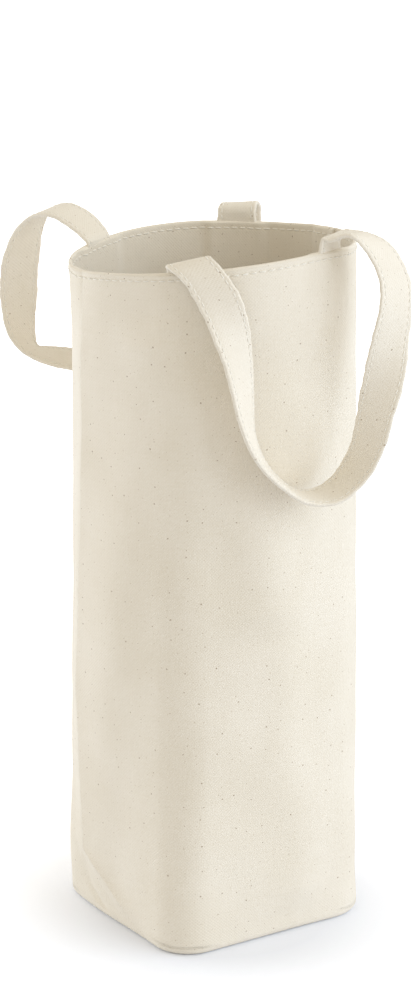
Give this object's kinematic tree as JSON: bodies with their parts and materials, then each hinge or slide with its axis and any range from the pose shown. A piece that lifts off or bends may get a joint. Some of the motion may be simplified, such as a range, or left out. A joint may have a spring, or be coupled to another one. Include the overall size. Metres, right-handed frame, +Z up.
{
  "type": "bottle carrier",
  "caption": "Tall open canvas bag with a boxed bottom that carries a bottle upright by strap handles sewn inside its rim.",
  "frame": {"origin": "middle of the base's underside, where the bag stands on the ground", "axes": "+Z up through the open mouth, +X to the bag's right side, +Y to its back; the front handle is on the -Y side"},
  "size_m": [0.1152, 0.1739, 0.3095],
  "materials": {
    "canvas": "unbleached cotton canvas, matt, with dark seed specks",
    "strap": "folded canvas strap, matt, stitched along both edges"
  },
  "bodies": {
    "bag": {"front_panel": "canvas", "back_panel": "canvas", "front_hem": "canvas", "back_hem": "canvas", "left_side_seam": "canvas", "right_side_seam": "canvas", "bottom_seam": "canvas", "left_corner_seam": "canvas", "right_corner_seam": "canvas", "front_handle_left_end": "strap", "front_handle_right_end": "strap", "back_handle_left_end": "strap", "back_handle_right_end": "strap"},
    "front_handle": {"front_handle": "strap"},
    "back_handle": {"back_handle": "strap"}
  },
  "joints": [
    {"name": "front_handle_swing", "type": "hinge", "parent": "bag", "child": "front_handle", "pos_m": [-0.00516, -0.04453, 0.30392], "axis": [-0.9792, 0.1857, -0.0814], "range_deg": [0, 175]},
    {"name": "back_handle_swing", "type": "hinge", "parent": "bag", "child": "back_handle", "pos_m": [0.00516, 0.04453, 0.30283], "axis": [0.9806, -0.186, 0.062], "range_deg": [0, 175]}
  ]
}
